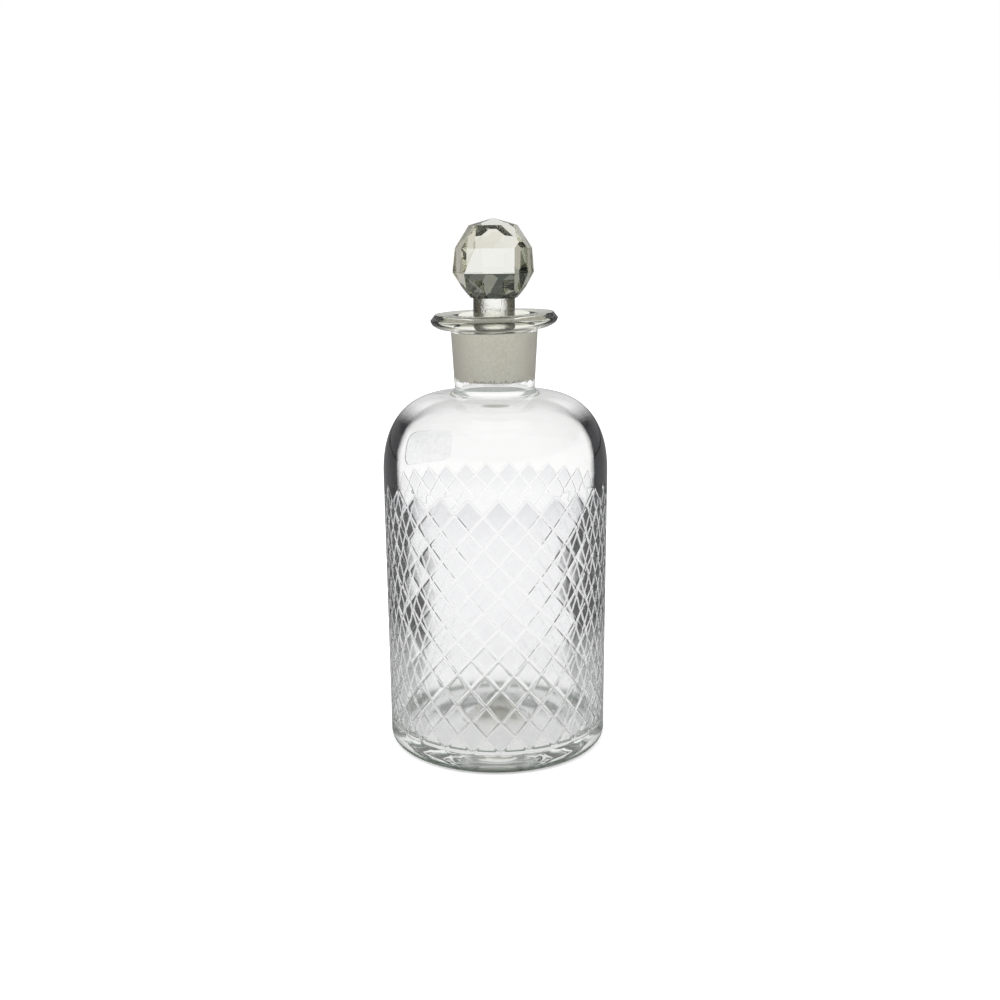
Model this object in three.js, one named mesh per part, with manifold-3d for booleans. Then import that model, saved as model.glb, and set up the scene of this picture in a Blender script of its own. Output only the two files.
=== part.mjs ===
// Cut glass carafe: a cylindrical bottle with a lattice of wheel-cut diamonds and a flared lip, closed by a
// ground-in glass stopper that ends in a faceted ball. Millimetres, +Z up, origin at the centre of the foot,
// -Y is the front.
import * as THREE from "three";
import { mergeGeometries, mergeVertices } from "three/addons/utils/BufferGeometryUtils.js";
import Module from "manifold-3d";

// Body of the bottle
const FOOT_RADIUS = 52.7;
const SHOULDER_RADIUS = 53.4;
const BODY_HEIGHT = 132;
const WALL = 4;
const HEEL_RADIUS = 4;
const PUNT_RADIUS = 37;
const PUNT_RISE = 3;
const FLOOR_HEIGHT = 7;
const FLOOR_CORNER = 7;
const KICK_RADIUS = 17;
const KICK_RISE = 14;
const KICK_HOLLOW = 9;

// Shoulder, a quarter superellipse between the body and the neck
const SHOULDER_RISE = 38.3;
const SHOULDER_FULLNESS = 2.35;
const SHOULDER_WALL = 4.2;

// Neck and the ground conical seat inside it
const SEAT_RADIUS = 16.9;
const SEAT_LENGTH = 23.5;
const SEAT_TAPER = 0.05;
const NECK_WALL = 3.4;
const NECK_LENGTH = 29;
const NECK_FILLET = 3;
const THROAT_ROUND = 1.6;

// Flared lip, a saucer with a full underside and a bevelled rim
const LIP_RADIUS = 29.7;
const LIP_BELLY = 4.7;
const LIP_BEVEL_RISE = 2.7;
const LIP_BEVEL_INSET = 2.1;
const LIP_FILLET = 1;
const LIP_DISH = 0.3;
const MOUTH_FLARE = 2.2;
const MOUTH_ROUND = 1;

// Wheel-cut diamond lattice on the body
const DIAMOND_COLUMNS = 27;
const DIAMOND_ROWS = 8;
const CUT_FOOT_MARGIN = 11;
const CUT_SHOULDER_MARGIN = 2;
const GROOVE_WIDTH = 1.6;
const GROOVE_DEPTH = 0.5;

// Stopper
const SEAT_CLEARANCE = 0.3;
const PLUG_LENGTH = 23;
const PLUG_CHAMFER = 1.2;
const SHANK_RADIUS = 9.7;
const SHANK_FILLET = 2;

// Ball of the stopper, cut by hand in five uneven columns of flats. Levels count up from the ball's centre.
// A flat's distance from the axis is given at each level, and each column takes its own share of it.
const BALL_HEIGHT = 32.6;
const BALL_BLANK = 44;
const BALL_LEVELS = [18.7, 15.5, 5.3, -5.9, -12.5, -17.5];
const BALL_FLATS = [0, 9.4, 15.9, 15.9, 13.4, 10.2];
const BALL_AZIMUTHS = [2, 79, 149, 215, 285];
const BALL_SHARES = [0.955, 1.07, 1.01, 1.01, 1.07];
const BALL_CORNER_TRIM = 3.2;
const BALL_RISING_CORNERS = [0, 2];
const BALL_CUT_OFF = 17.2;

// Blank film label on the back of the shoulder
const LABEL_WIDTH = 36;
const LABEL_HEIGHT = 22;
const LABEL_CORNER = 7;
const LABEL_THICKNESS = 0.25;
const LABEL_GAP = 0.3;
const LABEL_AZIMUTH = -134;
const LABEL_CENTRE_ABOVE_BODY = 11;

// Two facets stand over each diamond, so the lattice and the plain walls share their vertices.
const SEGMENTS = 2 * DIAMOND_COLUMNS;
const KICK_STEPS = 6;
const ARC_STEPS = 4;
const SHOULDER_STEPS = 10;
const LIP_STEPS = 5;

const wasm = await Module();
wasm.setup();

// Heights along the axis, each stacked on the one below
const shoulderTop = BODY_HEIGHT + SHOULDER_RISE;
const neckTop = shoulderTop + NECK_LENGTH;
const lipUnderside = neckTop + LIP_FILLET;
const lipWidest = lipUnderside + LIP_BELLY;
const lipTop = lipWidest + LIP_BEVEL_RISE;
const seatTop = neckTop;
const seatBottom = seatTop - SEAT_LENGTH;
const cutBottom = CUT_FOOT_MARGIN;
const cutTop = BODY_HEIGHT - CUT_SHOULDER_MARGIN;

const point = (radius, height) => new THREE.Vector2(radius, height);

// Outer radius of the body, which widens evenly from the heel to the shoulder
function bodyRadius(height) {
  const share = (height - HEEL_RADIUS) / (BODY_HEIGHT - HEEL_RADIUS);
  return THREE.MathUtils.lerp(FOOT_RADIUS, SHOULDER_RADIUS, share);
}

// Inner radius of the ground seat, narrowing downwards
function seatRadius(height) {
  return SEAT_RADIUS - SEAT_TAPER * (seatTop - height);
}

// Outer radius of the neck, which follows the seat at the neck's wall thickness
function neckRadius(height) {
  return seatRadius(height) + NECK_WALL;
}

// Points of a circular arc in the profile plane: 0 degrees points away from the axis, 90 degrees points up
function arc(centre, radius, fromDegrees, toDegrees, steps = ARC_STEPS) {
  return Array.from({ length: steps + 1 }, (_, i) => {
    const angle = THREE.MathUtils.degToRad(THREE.MathUtils.lerp(fromDegrees, toDegrees, i / steps));
    return point(centre.x + radius * Math.cos(angle), centre.y + radius * Math.sin(angle));
  });
}

// Points of a quarter superellipse that leaves its foot upright and reaches its crown level
function quarterSuperellipse(foot, crown, fullness, steps = SHOULDER_STEPS) {
  return Array.from({ length: steps + 1 }, (_, i) => {
    const angle = (Math.PI / 2) * (i / steps);
    const outward = Math.cos(angle) ** (2 / fullness);
    const upward = Math.sin(angle) ** (2 / fullness);
    return point(
      THREE.MathUtils.lerp(crown.x, foot.x, outward),
      THREE.MathUtils.lerp(foot.y, crown.y, upward),
    );
  });
}

// The kick in the middle of the base: a smooth bump of height one that runs out level at its radius
function kick(radius) {
  return Math.max(0, 1 - (radius / KICK_RADIUS) ** 2) ** 2;
}

// Points from the axis out to a rim: close together over the kick, then two steps more
function kickedLine(rimRadius, heightAt) {
  const near = Array.from({ length: KICK_STEPS }, (_, i) => (KICK_RADIUS * i) / KICK_STEPS);
  const far = [KICK_RADIUS, (KICK_RADIUS + rimRadius) / 2, rimRadius];
  return [...near, ...far].map((radius) => point(radius, heightAt(radius)));
}

// Joins stretches of a profile and leaves out a point that repeats the one before it
function profile(...stretches) {
  const repeat = 1e-6;
  return stretches.flat().filter((p, i, all) => i === 0 || p.distanceTo(all[i - 1]) > repeat);
}

// Turns a profile about the Z axis; its first segment starts at the front
function revolve(points) {
  return plain(new THREE.LatheGeometry(points, SEGMENTS).rotateX(Math.PI / 2));
}

// Keeps only the positions of a geometry, as loose triangles
function plain(geometry) {
  const loose = geometry.index ? geometry.toNonIndexed() : geometry;
  return new THREE.BufferGeometry().setAttribute("position", loose.getAttribute("position"));
}

// A closed geometry as a solid that can be joined and cut
function solid(geometry) {
  const merged = mergeVertices(plain(geometry), 1e-4);
  return new wasm.Manifold(
    new wasm.Mesh({
      numProp: 3,
      vertProperties: merged.getAttribute("position").array,
      triVerts: new Uint32Array(merged.index.array),
    }),
  );
}

// A solid as a geometry for a mesh
function geometryOf(manifold) {
  const mesh = manifold.getMesh();
  return new THREE.BufferGeometry()
    .setAttribute("position", new THREE.BufferAttribute(mesh.vertProperties, 3))
    .setIndex(new THREE.BufferAttribute(mesh.triVerts, 1));
}

// Underside of the bottle: the hollow of the kick, the shallow punt, the flat foot ring and the rounded
// heel, up to the cutting
function footProfile() {
  const heelCentre = point(FOOT_RADIUS - HEEL_RADIUS, HEEL_RADIUS);
  const punt = (radius) => PUNT_RISE * (1 - (radius / PUNT_RADIUS) ** 2);
  return profile(
    kickedLine(PUNT_RADIUS, (radius) => punt(radius) + KICK_HOLLOW * kick(radius)),
    arc(heelCentre, HEEL_RADIUS, -90, 0),
    [point(bodyRadius(cutBottom), cutBottom)],
  );
}

// Outside from the cutting up over the shoulder and along the neck to the lip
function shoulderProfile() {
  const root = neckRadius(shoulderTop);
  return profile(
    [point(bodyRadius(cutTop), cutTop)],
    quarterSuperellipse(
      point(SHOULDER_RADIUS, BODY_HEIGHT),
      point(root + NECK_FILLET, shoulderTop),
      SHOULDER_FULLNESS,
    ),
    arc(point(root + NECK_FILLET, shoulderTop + NECK_FILLET), NECK_FILLET, 270, 180),
    [point(neckRadius(neckTop), neckTop)],
  );
}

// The flared lip: a full underside, a bevelled rim, a dished top and the rounded edge of the mouth
function lipProfile() {
  const root = neckRadius(neckTop) + LIP_FILLET;
  const mouthRadius = SEAT_RADIUS + MOUTH_FLARE;
  const mouthTop = lipTop - LIP_DISH;
  return profile(
    arc(point(root, neckTop), LIP_FILLET, 180, 90, 2),
    quarterSuperellipse(point(LIP_RADIUS, lipWidest), point(root, lipUnderside), 2, LIP_STEPS).reverse(),
    [point(LIP_RADIUS - LIP_BEVEL_INSET, lipTop)],
    arc(point(mouthRadius + MOUTH_ROUND, mouthTop - MOUTH_ROUND), MOUTH_ROUND, 90, 180, 2),
    [point(SEAT_RADIUS, seatTop)],
  );
}

// Inside from the seat down through the throat and along the shoulder and wall to the floor and its kick
function insideProfile() {
  const throat = seatRadius(seatBottom);
  const ceiling = shoulderTop - SHOULDER_WALL;
  const innerFoot = bodyRadius(FLOOR_HEIGHT + FLOOR_CORNER) - WALL;
  const corner = point(innerFoot - FLOOR_CORNER, FLOOR_HEIGHT + FLOOR_CORNER);
  return profile(
    [point(throat, seatBottom)],
    arc(point(throat + THROAT_ROUND, ceiling + THROAT_ROUND), THROAT_ROUND, 180, 270, 2),
    quarterSuperellipse(
      point(SHOULDER_RADIUS - WALL, BODY_HEIGHT),
      point(throat + THROAT_ROUND, ceiling),
      SHOULDER_FULLNESS,
    ).reverse(),
    arc(corner, FLOOR_CORNER, 0, -90),
    kickedLine(corner.x, (radius) => FLOOR_HEIGHT + KICK_RISE * kick(radius)).reverse(),
  );
}

// The cut band of the body. Grooves climb both ways round the wall and cross on a lattice of half diamonds:
// column k and row m cross where k + m is even, and where it is odd a diamond has its centre. A diamond is a
// flat land with four groove walls round it. At the two edges of the band the grooves run out to nothing.
function diamondBand() {
  const columns = SEGMENTS;
  const rows = 2 * DIAMOND_ROWS;
  const rowHeight = (cutTop - cutBottom) / rows;
  const halfWidth = (Math.PI * FOOT_RADIUS) / DIAMOND_COLUMNS;
  const centreToGroove = (halfWidth * rowHeight) / Math.hypot(halfWidth, rowHeight);
  const land = 1 - GROOVE_WIDTH / 2 / centreToGroove;
  const corners = { left: [-1, 0], bottom: [0, -1], right: [1, 0], top: [0, 1] };
  const positions = [];

  const place = (column, row, depth) => {
    const azimuth = (2 * Math.PI * column) / columns;
    const height = cutBottom + row * rowHeight;
    const radius = bodyRadius(height) - depth;
    return [radius * Math.sin(azimuth), -radius * Math.cos(azimuth), height];
  };
  const triangle = (a, b, c) => positions.push(...a, ...b, ...c);
  const quad = (a, b, c, d) => {
    triangle(a, b, c);
    triangle(a, c, d);
  };
  const onEdge = (row) => row === 0 || row === rows;
  const crossing = (column, row) => place(column, row, onEdge(row) ? 0 : GROOVE_DEPTH);

  function wholeDiamond(column, row) {
    const names = Object.keys(corners);
    const outer = names.map((n) => crossing(column + corners[n][0], row + corners[n][1]));
    const inner = names.map((n) => place(column + land * corners[n][0], row + land * corners[n][1], 0));
    names.forEach((_, i) => {
      const next = (i + 1) % names.length;
      quad(outer[i], outer[next], inner[next], inner[i]);
    });
    const [left, bottom, right, top] = inner;
    triangle(left, bottom, top);
    triangle(bottom, right, top);
  }

  // At an edge of the band only the half of a diamond inside the band is cut. Inward is 1 at the foot and -1
  // at the shoulder.
  function halfDiamond(column, row, inward) {
    const left = crossing(column - 1, row);
    const right = crossing(column + 1, row);
    const middle = place(column, row, 0);
    const deep = crossing(column, row + inward);
    const landTip = place(column, row + land * inward, 0);
    const faces = [
      [left, landTip, deep],
      [deep, landTip, right],
      [left, middle, landTip],
      [middle, right, landTip],
    ];
    faces.forEach(([a, b, c]) => (inward > 0 ? triangle(a, b, c) : triangle(a, c, b)));
  }

  for (let row = 0; row <= rows; row++) {
    for (let column = 0; column < columns; column++) {
      if ((column + row) % 2 === 0) continue;
      if (onEdge(row)) halfDiamond(column, row, row === 0 ? 1 : -1);
      else wholeDiamond(column, row);
    }
  }
  return new THREE.BufferGeometry().setAttribute(
    "position",
    new THREE.BufferAttribute(new Float32Array(positions), 3),
  );
}

// The bottle is one piece of glass: the cut band between the foot and everything above it, inside included.
function bottleGeometry() {
  const above = profile(shoulderProfile(), lipProfile(), insideProfile());
  const skin = mergeGeometries([revolve(footProfile()), diamondBand(), revolve(above)]);
  return geometryOf(solid(skin));
}

// Facets down one side of the ball: each plane holds two neighbouring points of a profile at an azimuth
function profilePlanes(azimuth, radii, heights) {
  return radii.slice(1).map((radius, i) => {
    const latitude = Math.atan2(radius - radii[i], heights[i] - heights[i + 1]);
    const outward = new THREE.Vector3(
      Math.cos(latitude) * Math.sin(azimuth),
      -Math.cos(latitude) * Math.cos(azimuth),
      Math.sin(latitude),
    );
    return { outward, distance: radii[i] * Math.cos(latitude) + heights[i] * Math.sin(latitude) };
  });
}

// All the facets of the ball. Between two columns the corner is cut back at every other level, so its facets
// are triangles that point up and down by turns.
function ballPlanes() {
  return BALL_AZIMUTHS.flatMap((azimuthDegrees, column) => {
    const next = (column + 1) % BALL_AZIMUTHS.length;
    const stepDegrees = THREE.MathUtils.euclideanModulo(BALL_AZIMUTHS[next] - azimuthDegrees, 360);
    const azimuth = THREE.MathUtils.degToRad(azimuthDegrees);
    const halfStep = THREE.MathUtils.degToRad(stepDegrees / 2);
    const share = BALL_SHARES[column];
    const cornerShare = (share + BALL_SHARES[next]) / 2 / Math.cos(halfStep);
    const rising = BALL_RISING_CORNERS.includes(column) ? 1 : 0;
    const trim = (level) => ((level + rising) % 2 === 0 ? BALL_CORNER_TRIM : 0);
    const flats = BALL_FLATS.map((flat) => flat * share);
    const corners = BALL_FLATS.map((flat, level) => flat * cornerShare - trim(level));
    return [
      ...profilePlanes(azimuth, flats, BALL_LEVELS),
      ...profilePlanes(azimuth + halfStep, corners.slice(1, -1), BALL_LEVELS.slice(1, -1)),
    ];
  });
}

// The ball: a block cut off level above the shank and ground flat facet by facet
function ballSolid() {
  const block = solid(new THREE.BoxGeometry(BALL_BLANK, BALL_BLANK, BALL_BLANK));
  return ballPlanes().reduce(
    (ball, { outward, distance }) => ball.trimByPlane(outward.negate().toArray(), -distance),
    block.trimByPlane([0, 0, 1], -BALL_CUT_OFF),
  );
}

// The stopper is one piece of glass: the ground plug, the rough shank above it and the cut ball.
function stopperGeometry() {
  const plugBottom = seatTop - PLUG_LENGTH;
  const ballCentre = seatTop + BALL_HEIGHT;
  const plugRadius = (height) => seatRadius(height) - SEAT_CLEARANCE;
  const fitting = revolve(
    profile(
      [point(0, plugBottom)],
      [point(plugRadius(plugBottom) - PLUG_CHAMFER, plugBottom)],
      [point(plugRadius(plugBottom + PLUG_CHAMFER), plugBottom + PLUG_CHAMFER)],
      arc(point(plugRadius(seatTop) - PLUG_CHAMFER, seatTop - PLUG_CHAMFER), PLUG_CHAMFER, 0, 90, 2),
      arc(point(SHANK_RADIUS + SHANK_FILLET, seatTop + SHANK_FILLET), SHANK_FILLET, 270, 180, 2),
      [point(SHANK_RADIUS, ballCentre)],
      [point(0, ballCentre)],
    ),
  );
  const ball = ballSolid().translate(0, 0, ballCentre);
  return geometryOf(solid(fitting).add(ball));
}

// The label: an oblong cut out of a thin skin that follows the shoulder at a small gap
function labelGeometry() {
  const foot = BODY_HEIGHT - LABEL_HEIGHT;
  const skinLine = (offset) =>
    profile(
      [point(bodyRadius(foot) + offset, foot)],
      quarterSuperellipse(
        point(SHOULDER_RADIUS + offset, BODY_HEIGHT),
        point(neckRadius(shoulderTop) + NECK_FILLET, shoulderTop + offset),
        SHOULDER_FULLNESS,
      ),
    );
  const outside = skinLine(LABEL_GAP + LABEL_THICKNESS);
  const skin = revolve(profile(outside, skinLine(LABEL_GAP).reverse(), [outside[0]]));
  const outline = new THREE.Shape();
  const right = LABEL_WIDTH / 2;
  const top = LABEL_HEIGHT / 2;
  outline.moveTo(-right + LABEL_CORNER, -top);
  outline.absarc(right - LABEL_CORNER, -top + LABEL_CORNER, LABEL_CORNER, -Math.PI / 2, 0);
  outline.absarc(right - LABEL_CORNER, top - LABEL_CORNER, LABEL_CORNER, 0, Math.PI / 2);
  outline.absarc(-right + LABEL_CORNER, top - LABEL_CORNER, LABEL_CORNER, Math.PI / 2, Math.PI);
  outline.absarc(-right + LABEL_CORNER, -top + LABEL_CORNER, LABEL_CORNER, Math.PI, 1.5 * Math.PI);
  const punch = new THREE.ExtrudeGeometry(outline, {
    depth: 2 * SHOULDER_RADIUS,
    bevelEnabled: false,
    curveSegments: ARC_STEPS,
  });
  punch.rotateX(Math.PI / 2);
  punch.rotateZ(THREE.MathUtils.degToRad(LABEL_AZIMUTH));
  punch.translate(0, 0, BODY_HEIGHT + LABEL_CENTRE_ABOVE_BODY);
  return geometryOf(solid(skin).intersect(solid(punch)));
}

// Finishes
const clearGlass = new THREE.MeshStandardMaterial({
  color: 0xf2f3f5,
  roughness: 0.03,
  metalness: 0,
  transparent: true,
  opacity: 0.35,
});
const stopperGlass = new THREE.MeshStandardMaterial({
  color: 0xe4e6d6,
  roughness: 0.05,
  metalness: 0,
  transparent: true,
  opacity: 0.45,
});
const clearFilm = new THREE.MeshStandardMaterial({
  color: 0xf4f4f6,
  roughness: 0.25,
  metalness: 0,
  transparent: true,
  opacity: 0.3,
});

function piece(name, geometry, material) {
  const mesh = new THREE.Mesh(geometry, material);
  mesh.name = name;
  return mesh;
}

const carafe = new THREE.Group();
carafe.add(
  piece("bottle", bottleGeometry(), clearGlass),
  piece("stopper", stopperGeometry(), stopperGlass),
  piece("blank_label", labelGeometry(), clearFilm),
);

export default carafe;
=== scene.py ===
"""Cut glass carafe with a ground-in ball stopper, dressed and lit for a photograph.

Each piece is a surface worked out with numpy in millimetres, in the frame of the CAD part: Z up along the
bottle's axis, the foot on Z = 0, -Y towards the viewer. Angles round the axis start at the front and run
towards +X.
"""

import itertools
import math

import bpy
import numpy as np
from mathutils import Matrix


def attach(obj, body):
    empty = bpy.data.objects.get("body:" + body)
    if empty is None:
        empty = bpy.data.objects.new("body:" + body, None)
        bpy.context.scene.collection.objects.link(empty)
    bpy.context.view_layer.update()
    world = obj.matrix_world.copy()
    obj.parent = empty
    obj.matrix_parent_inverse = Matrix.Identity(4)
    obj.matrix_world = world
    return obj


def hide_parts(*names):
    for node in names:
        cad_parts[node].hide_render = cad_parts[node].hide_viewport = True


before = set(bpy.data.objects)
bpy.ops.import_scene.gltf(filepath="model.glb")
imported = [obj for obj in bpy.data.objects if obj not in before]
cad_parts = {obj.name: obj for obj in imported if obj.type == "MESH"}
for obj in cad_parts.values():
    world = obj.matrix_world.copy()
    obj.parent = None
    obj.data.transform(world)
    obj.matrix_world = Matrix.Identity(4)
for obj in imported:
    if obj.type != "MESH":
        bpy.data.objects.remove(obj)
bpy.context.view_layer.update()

MM = 0.001

# Body of the bottle, millimetres
FOOT_RADIUS = 52.7
SHOULDER_RADIUS = 53.4
BODY_HEIGHT = 132.0
WALL = 4.0
HEEL_RADIUS = 4.0
PUNT_RADIUS = 37.0
PUNT_RISE = 3.0
FLOOR_HEIGHT = 7.0
FLOOR_CORNER = 7.0
KICK_RADIUS = 17.0
KICK_RISE = 14.0
KICK_HOLLOW = 9.0

# Shoulder, neck and lip, millimetres; the lip's tilt is in degrees
SHOULDER_RISE = 38.3
SHOULDER_FULLNESS = 2.35
SHOULDER_WALL = 4.2
NECK_LENGTH = 29.0
NECK_WALL = 3.4
NECK_FILLET = 3.0
SEAT_RADIUS = 16.9
SEAT_LENGTH = 23.5
SEAT_TAPER = 0.05
SEAT_RAGGED = 2.2
THROAT_ROUND = 1.6
LIP_RADIUS = 29.7
LIP_BELLY = 4.7
LIP_BEVEL_RISE = 2.7
LIP_BEVEL_INSET = 2.1
LIP_ROUND = 0.5
LIP_ROUND_INSET = 0.2
LIP_FILLET = 1.0
LIP_DISH = 0.3
MOUTH_FLARE = 2.2
MOUTH_ROUND = 1.0
LIP_TILT = 1.3
LIP_TILT_BELOW = 6.0
LIP_TILT_STRETCH = 8.0

# Wheel-cut diamond lattice
DIAMOND_COLUMNS = 27
DIAMOND_ROWS = 8
CUT_FOOT_MARGIN = 11.0
CUT_SHOULDER_MARGIN = 2.0
GROOVE_WIDTH = 1.6
GROOVE_DEPTH = 0.38
GROOVE_RUN_OUT = 4.0
CUT_STEPS = 10
ARRIS_SOFTNESS = 0.12
HAND_WANDER = 0.035
HAND_SPREAD = 0.07
HAND_SPREAD_TURN = 0.3
HAND_DEPTHS = (0.8, 1.15)

# Seeds of the small faults of hand work
RIGHT_SEED = 11
LEFT_SEED = 23
TONE_SEED = 31
RAGGED_SEED = 17
PEBBLE_SEED = 5

# Where finishes begin and end along the profile, millimetres, and how steeply their edges rise
SEAT_EDGE = 0.2
SEAT_MARGIN = 0.5
PLUG_EDGE = 0.3
SHANK_EDGE = 0.1
CLEAR_NECK_BELOW = 2.0
CLEAR_NECK_ABOVE = 1.0
RIM_ABOVE_NECK = 0.5
# Reach of the heel's painted shade over the green of thick glass: above the heel, its fade and its inset
HEEL_SHADE_ABOVE = 0.5
HEEL_SHADE_FADE = 1.5
HEEL_SHADE_INSET = 0.3
FINISH_STEEPNESS = 3.0

# The share of the slope at which a profile begins to count as upright, and the stretch up to fully upright
UPRIGHT_FROM = 0.45
UPRIGHT_STRETCH = 0.35

# Painted shade on the edges of the outer wall: its height of full strength, millimetres, and its share at
# the foot
EDGE_FULL_HEIGHT = 66.0
EDGE_AT_FOOT = 0.15

# Painted grey shade of the lands: the stretch in which it fades below the top of the cutting, millimetres,
# and what stays
LAND_SHADE_FADE = 30.0
LAND_SHADE_LEAST = 0.4

# Painted lines of the far side's cutting, as it would show through the wall near its edges, in columns round
# the axis
FAR_COLUMNS = 54
FAR_LINE = 0.12
FAR_LINE_LIGHT = 0.3
FAR_LAND_DARK = 0.985
FAR_WOBBLE = 0.2

# Stopper, millimetres
SEAT_CLEARANCE = 0.3
PLUG_LENGTH = 23.0
PLUG_CHAMFER = 1.2
SHANK_RADIUS = 9.7
SHANK_FILLET = 2.0
SHANK_PEBBLE = 0.07
PEBBLE_ROWS = 26
PEBBLE_COLUMNS = 110
STEM_SEGMENTS = 360
BALL_HEIGHT = 32.6
BALL_AZIMUTHS = (2.0, 79.0, 149.0, 215.0, 285.0)
BALL_SHARES = (0.955, 1.07, 1.01, 1.01, 1.07)
BALL_LEVELS = (18.7, 15.5, 5.3, -5.9, -12.5, -17.5)
BALL_FLATS = (0.0, 9.4, 15.9, 15.9, 13.4, 10.2)
BALL_CORNER_TRIM = 3.2
BALL_RISING_CORNERS = (0, 2)
BALL_CUT_OFF = 17.2

# Painted shade on each facet of the ball, from 0 clear to 1 darkest, column by column and downwards: five
# flats, three corners
FACET_SHADES = (
    (0.1, 0.35, 0.05, 0.95, 0.9, 0.3, 0.85, 0.75),
    (0.3, 0.4, 0.5, 0.6, 0.5, 0.4, 0.25, 0.55),
    (0.1, 0.05, 0.0, 0.1, 0.4, 0.0, 0.0, 0.0),
    (0.3, 0.05, 0.0, 0.1, 0.3, 0.1, 0.5, 0.2),
    (0.1, 0.5, 0.45, 0.35, 0.6, 0.6, 0.35, 0.85),
)

# Film label on the back of the shoulder, millimetres and degrees
LABEL_WIDTH = 36.0
LABEL_HEIGHT = 22.0
LABEL_FULLNESS = 5.0
LABEL_THICKNESS = 0.15
LABEL_GAP = 0.2
LABEL_AZIMUTH = -134.0
LABEL_CENTRE_ABOVE_BODY = 11.0

# Finish of the bottle: colours and painted shades, scales per metre, stretches of turning away from the eye
# for painted shade, and roughness
GLASS_INDEX = 1.52
WHITE = (1.0, 1.0, 1.0)
POLISHED = ((0.97, 0.97, 0.965), WHITE)
# Painted grey shade of the lands, with the glass's faint lavender tint
LAND_SHADE_AND_TINT = ((0.6, 0.6, 0.64), (0.74, 0.74, 0.78))
RIM_TINT = (0.88, 0.88, 0.8)
# Painted shade over the green of thick glass at the heel
HEEL_GREEN_AND_SHADE = (0.1, 0.125, 0.1)
PONTIL_TINT = (0.86, 0.85, 0.79)
# Painted shade that darkens the bottle's turned-away edges
PAINTED_EDGE_SHADE = (0.001, 0.001, 0.0012)
SANDED_STOPS = ((0.35, (0.9, 0.885, 0.76)), (0.65, (1.0, 0.99, 0.88)))
# Painted shade of the frosted seat where it turns away from the eye
SANDED_EDGE_SHADE = (0.7, 0.68, 0.6)
BOTTLE_TINT = (0.86, 0.9, 0.86)
BOTTLE_TINT_DENSITY = 6.0
BOTTLE_STREAKS = 160.0
STREAK_DETAIL = 4.0
GRIT_SCALE = 900.0
GRIT_DETAIL = 3.0
# Stretches of turning away from the eye over which painted shade darkens the lands, the walls and the
# frosted seat, and how uneven each is
LAND_EDGE = (0.24, 0.4)
WALL_EDGE = (0.45, 0.54)
FROST_EDGE = (0.0, 0.36)
TONE_UNEVEN = 0.1
LAND_UNEVEN = 0.06
WALL_UNEVEN = 0.02
FROST_UNEVEN = 0.04
GROOVE_ROUGHNESS = 0.3
LAND_ROUGHNESS = 0.12
GROUND_ROUGHNESS = 0.5
PONTIL_ROUGHNESS = 0.3

# Finish of the stopper, in the same terms; its shank takes painted edge shade earlier than its facets, which
# take less
STOPPER_CLEAR = ((0.98, 0.98, 0.97), WHITE)
# Painted shade of the ball's facets, olive in hue
OLIVE_SHADE_STOPS = (
    (0.0, WHITE),
    (0.5, (0.42, 0.39, 0.29)),
    (0.7, (0.13, 0.135, 0.105)),
    (0.85, (0.008, 0.01, 0.008)),
)
# Painted shade of the stopper's turned-away edges
STOPPER_EDGE_SHADE = (0.03, 0.027, 0.016)
PLUG_SANDED = (0.72, 0.71, 0.64)
PLUG_CLEARNESS = 0.5
STOPPER_TINT = (0.72, 0.74, 0.55)
STOPPER_TINT_DENSITY = 7.0
STOPPER_STREAKS = 220.0
# A scatter of cells that breaks up the painted facet shade
SHARD_SCALE = 140.0
SHARD_SHARES = (0.7, 1.3)
STOPPER_EDGE = (0.3, 0.55)
STOPPER_UNEVEN = 0.08
SHANK_EARLIER = 0.3
EDGE_ON_FACETS = 0.25
SHANK_ROUGHNESS = 0.15

# Finish of the film
FILM_INDEX = 1.12
FILM_STOPS = ((0.35, (0.9, 0.9, 0.92)), (0.65, (0.97, 0.97, 0.98)))
FILM_HAZE_SCALE = 400.0
FILM_ROUGHNESS = (0.05, 0.18)

# Studio walls as glass sees them: heights from 0 straight down to 1 straight up, and their brightness
THROUGH_STOPS = ((0.7, 1.0), (0.74, 0.2), (0.95, 0.2), (0.98, 1.0))
MIRRORED_STOPS = ((0.495, 0.08), (0.505, 0.3), (0.59, 0.3), (0.64, 0.12), (0.97, 1.0))

# Floor of pale paper: millimetres, brightness to each kind of ray, and its glow
FLOOR_REACH = 4000.0
FLOOR_DROP = 0.3
PAPER_SHADES = (0.86, 0.88)
PAPER_GRAIN = 40.0
PAPER_GRAIN_DETAIL = 2.0
PAPER_ROUGHNESS = 0.9
FLOOR_MIRRORED = 0.25
FLOOR_THROUGH = 0.3
GLOW_TO_CAMERA = 0.4
GLOW_THROUGH_GLASS = 0.72

# Lamps: name, place and size in metres, power in watts, and the point that they aim at
LAMPS = (
    ("key", (-0.7, -0.6, 1.1), (0.8, 0.8), 6.0),
    ("fill", (0.9, -0.3, 0.9), (0.7, 0.7), 3.0),
)
LAMP_AIM = (0.0, 0.0, 0.12)

# Camera, fitted to the photograph: millimetres, degrees and pixels of the 1000 pixel frame
CAMERA_BACK = 572.2
CAMERA_HEIGHT = 246.6
CAMERA_PITCH = 12.64
CAMERA_ROLL = 0.485
FOCAL_PIXELS = 1218.0
AXIS_OFFSET_PIXELS = 4.3
FRAME_PIXELS = 1000.0
SENSOR_WIDTH = 36.0

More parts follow.
